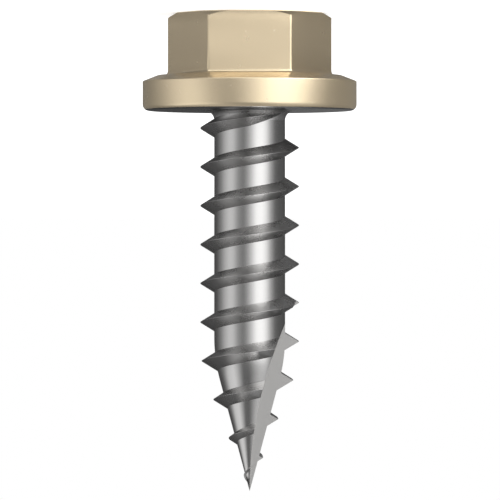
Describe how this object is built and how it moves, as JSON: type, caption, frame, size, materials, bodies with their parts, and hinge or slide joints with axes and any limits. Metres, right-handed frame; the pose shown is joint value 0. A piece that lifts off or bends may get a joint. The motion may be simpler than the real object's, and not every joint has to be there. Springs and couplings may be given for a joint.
{
  "type": "flanged hex head screw",
  "caption": "Self-drilling timber screw with a painted hexagon flange head, a coarse right-hand thread and a slotted sharp point, standing on its head.",
  "frame": {"origin": "the middle of the flat top of the head, on which the screw stands", "axes": "+Z along the screw's axis from the head to the tip, +X through a corner of the hexagon, -Y out of the flat of the hexagon above which the cutting slot faces"},
  "size_m": [0.014, 0.014, 0.0314],
  "materials": {
    "screw": "bright zinc plating on the shank, thread and underside of the flange; gloss beige paint on the head and flange"
  },
  "bodies": {
    "root": {"screw": "screw"}
  },
  "joints": []
}
